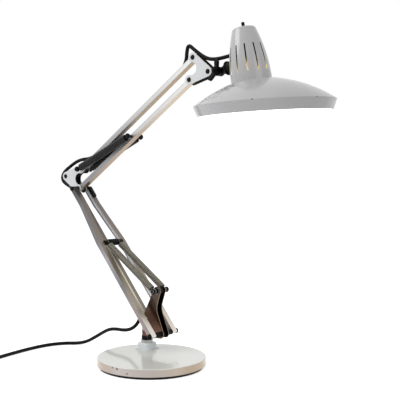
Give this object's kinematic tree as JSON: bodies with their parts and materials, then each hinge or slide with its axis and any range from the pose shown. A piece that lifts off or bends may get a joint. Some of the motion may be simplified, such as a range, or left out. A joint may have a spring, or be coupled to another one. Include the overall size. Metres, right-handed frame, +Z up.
{
  "type": "accordion desk lamp",
  "caption": "Desk lamp with a spring-balanced folding double-parallelogram arm, a round weighted base and a wide flared metal shade with a slotted cap.",
  "frame": {"origin": "on the desk, on the vertical axis of the pin about which the arm swivels", "axes": "+Z up; the arm folds in the XZ plane and the shade hangs on the +X side; +Y is the far side in the picture"},
  "size_m": [0.7476, 0.517, 0.6761],
  "materials": {
    "base_enamel": "worn gloss enamel",
    "cast_iron": "rough casting",
    "black_rubber": "matt",
    "hub_enamel": "gloss enamel",
    "bright_steel": "turned",
    "black_steel": "black oxide",
    "bracket_chrome": "polished",
    "plate_enamel": "gloss enamel",
    "bar_enamel": "satin silver enamel",
    "zinc_spring": "dull zinc",
    "black_spring": "black oxide",
    "flex_black": "satin sleeve",
    "black_plastic": "moulded",
    "shade_enamel": "satin enamel",
    "holder_plastic": "moulded",
    "bulb_glass": "frosted, lit"
  },
  "bodies": {
    "base": {"base_shell": "base_enamel", "base_weight": "cast_iron", "base_pad": "black_rubber", "hub_block": "hub_enamel", "pivot_bush": "bright_steel", "mains_cord": "flex_black", "cord_coil": "flex_black", "plug_lead": "flex_black", "mains_plug": "black_plastic"},
    "bracket": {"bracket_plate_near": "bracket_chrome", "bracket_plate_far": "bracket_chrome", "swivel_spindle": "black_steel", "bracket_pins": "black_steel", "bracket_arm_axle": "black_steel", "bracket_spacers": "black_plastic", "bracket_spring_axle": "black_steel", "bracket_flex": "flex_black", "lower_spring_near": "zinc_spring", "lower_spring_far": "zinc_spring"},
    "lower_link": {"lower_link_bar": "bar_enamel", "lower_link_flex": "flex_black"},
    "lower_arm": {"lower_bar_near": "bar_enamel", "lower_bar_far": "bar_enamel", "lower_cross_axle": "black_steel", "lower_cross_spacers": "black_plastic", "lower_bar_stop": "black_plastic"},
    "elbow": {"elbow_plate_near": "plate_enamel", "elbow_plate_far": "plate_enamel", "elbow_arm_axle": "black_steel", "elbow_spacers": "black_plastic", "elbow_spring_axle": "black_steel", "elbow_link_pin": "black_steel", "elbow_flex_lower": "flex_black", "elbow_flex_upper": "flex_black", "upper_spring_near": "black_spring", "upper_spring_far": "black_spring"},
    "upper_link": {"upper_link_bar": "bar_enamel", "upper_link_flex": "flex_black"},
    "upper_arm": {"upper_arm_bar": "bar_enamel", "upper_spring_axle": "black_steel"},
    "head": {"head_plate_near": "plate_enamel", "head_plate_far": "plate_enamel", "head_arm_pin": "black_steel", "head_link_pin": "black_steel", "head_yoke_pin": "black_steel", "head_yoke": "black_plastic", "tilt_bolt": "black_steel", "head_flex_arm": "flex_black", "head_flex_stub": "flex_black"},
    "wing_nut": {"wing_nut": "black_plastic"},
    "tilt_stub": {"tilt_stub": "black_plastic", "shade_flex": "flex_black"},
    "shade": {"shade_bowl": "shade_enamel", "shade_cap": "shade_enamel", "cap_saddle": "black_plastic", "flex_grommet": "black_rubber", "lampholder": "holder_plastic", "bulb": "bulb_glass", "switch_body": "black_plastic"},
    "switch_rod": {"switch_rod": "black_plastic"}
  },
  "joints": [
    {"name": "bracket_swivel", "type": "hinge", "parent": "base", "child": "bracket", "pos_m": [0, 0, 0.0398], "axis": [0, 0, 1], "range_deg": [-150, 150], "deforming": ["mains_cord"]},
    {"name": "lower_link_hinge", "type": "hinge", "parent": "bracket", "child": "lower_link", "pos_m": [0.0031, 0, 0.0849], "axis": [0, 1, 0], "range_deg": [-2, 36], "deforming": ["bracket_flex"]},
    {"name": "lower_arm_hinge", "type": "hinge", "parent": "bracket", "child": "lower_arm", "pos_m": [0.0438, 0, 0.0569], "axis": [0, 1, 0], "range_deg": [-2, 36], "deforming": ["lower_spring_near", "lower_spring_far"]},
    {"name": "elbow_hinge", "type": "hinge", "parent": "lower_link", "child": "elbow", "pos_m": [-0.24149, 0, 0.3848], "axis": [0, 1, 0], "range_deg": [-36, 2], "deforming": ["elbow_flex_lower"]},
    {"name": "upper_link_hinge", "type": "hinge", "parent": "elbow", "child": "upper_link", "pos_m": [-0.1919, 0, 0.4007], "axis": [0, 1, 0], "range_deg": [-28, 55], "deforming": ["elbow_flex_upper"]},
    {"name": "upper_arm_hinge", "type": "hinge", "parent": "elbow", "child": "upper_arm", "pos_m": [-0.2008, 0, 0.3568], "axis": [0, 1, 0], "range_deg": [-28, 55], "deforming": ["upper_spring_near", "upper_spring_far"]},
    {"name": "head_hinge", "type": "hinge", "parent": "upper_link", "child": "head", "pos_m": [0.12507, 0, 0.621], "axis": [0, 1, 0], "range_deg": [-55, 28], "deforming": ["head_flex_arm"]},
    {"name": "shade_tilt", "type": "hinge", "parent": "head", "child": "tilt_stub", "pos_m": [0.184, 0, 0.589], "axis": [0, 1, 0], "range_deg": [-35, 35], "deforming": ["head_flex_stub"]},
    {"name": "shade_turn", "type": "hinge", "parent": "tilt_stub", "child": "shade", "pos_m": [0.206, 0, 0.5936], "axis": [0.9897, 0, 0.1435], "range_deg": [-25, 25], "deforming": ["shade_flex"]},
    {"name": "wing_nut_turn", "type": "hinge", "parent": "head", "child": "wing_nut", "pos_m": [0.184, -0.0078, 0.589], "axis": [0, 1, 0], "continuous": true},
    {"name": "switch_push", "type": "slide", "parent": "shade", "child": "switch_rod", "axis": [-0.1432, -0.0671, 0.9874], "range_m": [-0.003, 0], "stiffness_N_per_m": 400}
  ],
  "couplings": [
    {"joint": "lower_arm_hinge", "follows": "lower_link_hinge", "ratio": 1},
    {"joint": "elbow_hinge", "follows": "lower_link_hinge", "ratio": -1},
    {"joint": "upper_arm_hinge", "follows": "upper_link_hinge", "ratio": 1},
    {"joint": "head_hinge", "follows": "upper_link_hinge", "ratio": -1}
  ]
}
